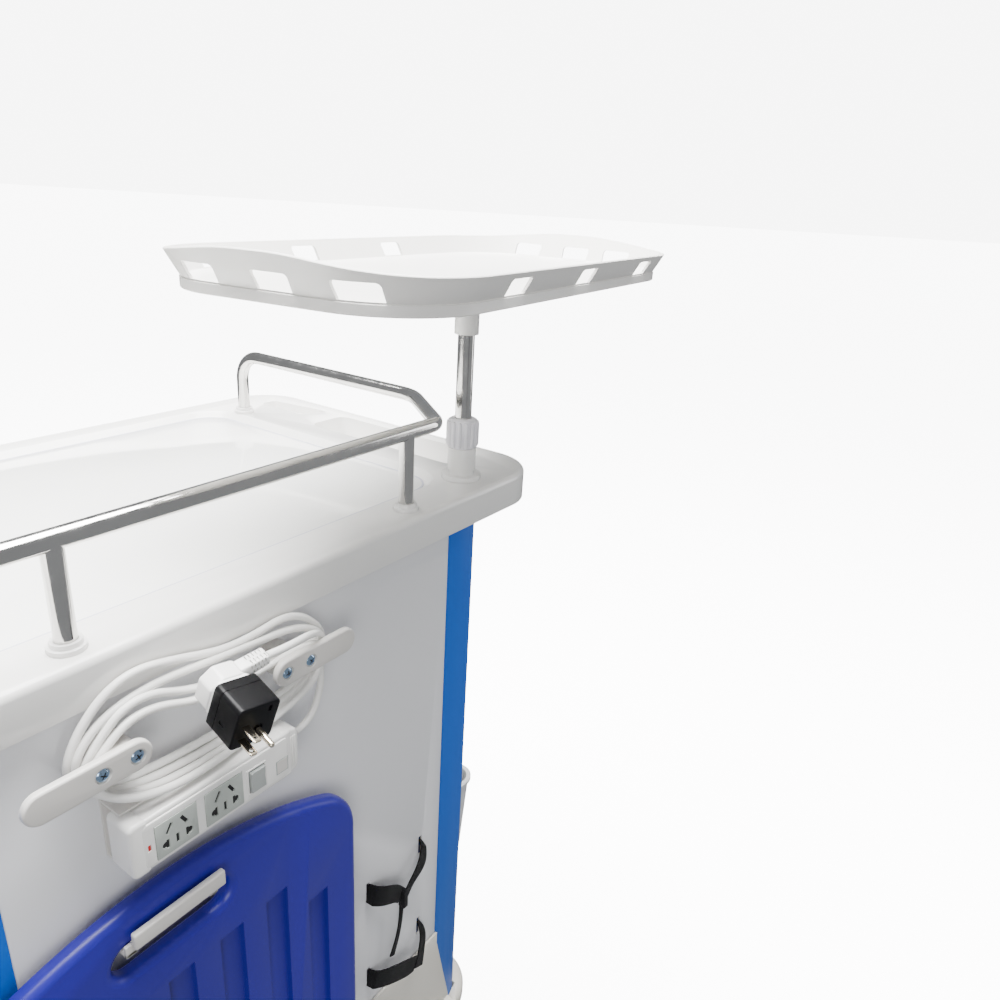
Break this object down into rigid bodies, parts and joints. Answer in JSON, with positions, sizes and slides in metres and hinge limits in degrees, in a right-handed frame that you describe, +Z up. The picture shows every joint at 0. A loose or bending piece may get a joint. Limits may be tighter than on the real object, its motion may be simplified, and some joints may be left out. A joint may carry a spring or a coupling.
{
  "type": "medication cart",
  "caption": "Wheeled medication cart seen from behind: moulded top with guard rail, swivel shelf, rear resuscitation board, power strip on cord hooks, drawers and side bins.",
  "frame": {"origin": "on the floor, under the middle of the whole cart's box, cord left out", "axes": "+X to the right when facing the drawers, +Y towards the rear panel, +Z up"},
  "size_m": [1.021, 0.6846, 1.2428],
  "materials": {
    "abs_white": "smooth gloss moulding",
    "mat_clear": "clear sheet",
    "stainless": "polished stainless tube",
    "column_blue": "blue coated extrusion",
    "panel_white": "satin powder coat",
    "base_cream": "fine grain moulding",
    "steel_painted": "black-grey powder coat",
    "lock_metal": "plated",
    "zinc_steel": "zinc plated",
    "board_blue": "satin moulding",
    "bracket_white": "powder coat",
    "socket_grey": "moulded insert",
    "switch_grey": "rocker",
    "cord_white": "PVC jacket",
    "adapter_black": "satin black moulding",
    "plug_white": "moulded PVC",
    "strap_black": "woven hook-and-loop webbing",
    "bin_grey": "moulded bin",
    "drawer_white": "moulded drawer front",
    "tub_grey": "moulded tub",
    "wheel_grey": "soft tread on a moulded hub",
    "pedal_dark": "ribbed pedal"
  },
  "bodies": {
    "cart": {"table_top": "abs_white", "clear_mat": "mat_clear", "guard_rail": "stainless", "rail_flanges": "abs_white", "rear_columns": "column_blue", "front_columns": "column_blue", "back_panel": "panel_white", "side_panel_left": "panel_white", "side_panel_right": "panel_white", "base_pan": "base_cream", "base_frame": "steel_painted", "drawer_frame": "panel_white", "guide_rails": "zinc_steel", "caster_plates": "zinc_steel", "pole_socket": "abs_white", "board_bracket": "bracket_white", "board_rest": "bracket_white", "cord_hooks": "abs_white", "hook_screws": "lock_metal", "strip_body": "abs_white", "strip_sockets": "socket_grey", "strip_cradle": "bracket_white", "cord_coil": "cord_white", "cord_lead": "cord_white", "cord_tail": "cord_white", "plug": "plug_white", "plug_relief": "plug_white", "adapter": "adapter_black", "strap_upper": "strap_black", "strap_lower": "strap_black", "bin_bracket": "stainless", "push_handle": "stainless"},
    "lock": {"lock_core": "lock_metal"},
    "pole": {"shelf_pole": "stainless"},
    "shelf": {"shelf_collar": "abs_white", "shelf_tray": "abs_white"},
    "pole_nut": {"clamp_nut": "abs_white"},
    "board": {"cpr_board": "board_blue"},
    "rocker": {"strip_switch": "switch_grey"},
    "bin_front": {"waste_bin_front": "bin_grey"},
    "bin_back": {"waste_bin_back": "bin_grey"},
    "drawer_1": {"drawer_front_1": "drawer_white", "drawer_tub_1": "tub_grey"},
    "drawer_2": {"drawer_front_2": "drawer_white", "drawer_tub_2": "tub_grey"},
    "drawer_3": {"drawer_front_3": "drawer_white", "drawer_tub_3": "tub_grey"},
    "drawer_4": {"drawer_front_4": "drawer_white", "drawer_tub_4": "tub_grey"},
    "caster_1": {"caster_fork_1": "zinc_steel"},
    "wheel_1": {"caster_wheel_1": "wheel_grey"},
    "pedal_1": {"brake_pedal_1": "pedal_dark"},
    "caster_2": {"caster_fork_2": "zinc_steel"},
    "wheel_2": {"caster_wheel_2": "wheel_grey"},
    "caster_3": {"caster_fork_3": "zinc_steel"},
    "wheel_3": {"caster_wheel_3": "wheel_grey"},
    "pedal_3": {"brake_pedal_3": "pedal_dark"},
    "caster_4": {"caster_fork_4": "zinc_steel"},
    "wheel_4": {"caster_wheel_4": "wheel_grey"}
  },
  "joints": [
    {"name": "drawer_1_slide", "type": "slide", "parent": "cart", "child": "drawer_1", "axis": [0, -1, 0], "range_m": [0, 0.32]},
    {"name": "drawer_2_slide", "type": "slide", "parent": "cart", "child": "drawer_2", "axis": [0, -1, 0], "range_m": [0, 0.32]},
    {"name": "drawer_3_slide", "type": "slide", "parent": "cart", "child": "drawer_3", "axis": [0, -1, 0], "range_m": [0, 0.32]},
    {"name": "drawer_4_slide", "type": "slide", "parent": "cart", "child": "drawer_4", "axis": [0, -1, 0], "range_m": [0, 0.32]},
    {"name": "lock_turn", "type": "hinge", "parent": "cart", "child": "lock", "pos_m": [0.28553, -0.29852, 0.92], "axis": [0, 1, 0], "range_deg": [0, 90]},
    {"name": "pole_lift", "type": "slide", "parent": "cart", "child": "pole", "axis": [0, 0, 1], "range_m": [0, 0.04]},
    {"name": "shelf_swivel", "type": "hinge", "parent": "pole", "child": "shelf", "pos_m": [-0.22377, 0.16698, 1.143], "axis": [0, 0, 1], "continuous": true},
    {"name": "pole_nut_turn", "type": "hinge", "parent": "cart", "child": "pole_nut", "pos_m": [-0.22377, 0.16698, 1.03], "axis": [0, 0, 1], "range_deg": [0, 120]},
    {"name": "board_lift", "type": "slide", "parent": "cart", "child": "board", "axis": [0, 0, 1], "range_m": [0, 0.018]},
    {"name": "rocker_tilt", "type": "hinge", "parent": "cart", "child": "rocker", "pos_m": [0.14753, 0.24268, 0.8215], "axis": [1, 0, 0], "range_deg": [-6, 6]},
    {"name": "bin_front_lift", "type": "slide", "parent": "cart", "child": "bin_front", "axis": [0, 0, 1], "range_m": [0, 0.05]},
    {"name": "bin_back_lift", "type": "slide", "parent": "cart", "child": "bin_back", "axis": [0, 0, 1], "range_m": [0, 0.05]},
    {"name": "caster_1_swivel", "type": "hinge", "parent": "cart", "child": "caster_1", "pos_m": [-0.15247, -0.24382, 0.145], "axis": [0, 0, 1], "continuous": true},
    {"name": "wheel_1_spin", "type": "hinge", "parent": "caster_1", "child": "wheel_1", "pos_m": [-0.15247, -0.20982, 0.0625], "axis": [1, 0, 0], "continuous": true},
    {"name": "pedal_1_tilt", "type": "hinge", "parent": "caster_1", "child": "pedal_1", "pos_m": [-0.15247, -0.25582, 0.131], "axis": [1, 0, 0], "range_deg": [0, 12]},
    {"name": "caster_2_swivel", "type": "hinge", "parent": "cart", "child": "caster_2", "pos_m": [-0.15247, 0.14618, 0.145], "axis": [0, 0, 1], "continuous": true},
    {"name": "wheel_2_spin", "type": "hinge", "parent": "caster_2", "child": "wheel_2", "pos_m": [-0.15247, 0.11218, 0.0625], "axis": [1, 0, 0], "continuous": true},
    {"name": "caster_3_swivel", "type": "hinge", "parent": "cart", "child": "caster_3", "pos_m": [0.32353, -0.24382, 0.145], "axis": [0, 0, 1], "continuous": true},
    {"name": "wheel_3_spin", "type": "hinge", "parent": "caster_3", "child": "wheel_3", "pos_m": [0.32353, -0.20982, 0.0625], "axis": [1, 0, 0], "continuous": true},
    {"name": "pedal_3_tilt", "type": "hinge", "parent": "caster_3", "child": "pedal_3", "pos_m": [0.32353, -0.25582, 0.131], "axis": [1, 0, 0], "range_deg": [0, 12]},
    {"name": "caster_4_swivel", "type": "hinge", "parent": "cart", "child": "caster_4", "pos_m": [0.32353, 0.14618, 0.145], "axis": [0, 0, 1], "continuous": true},
    {"name": "wheel_4_spin", "type": "hinge", "parent": "caster_4", "child": "wheel_4", "pos_m": [0.32353, 0.11218, 0.0625], "axis": [1, 0, 0], "continuous": true}
  ]
}
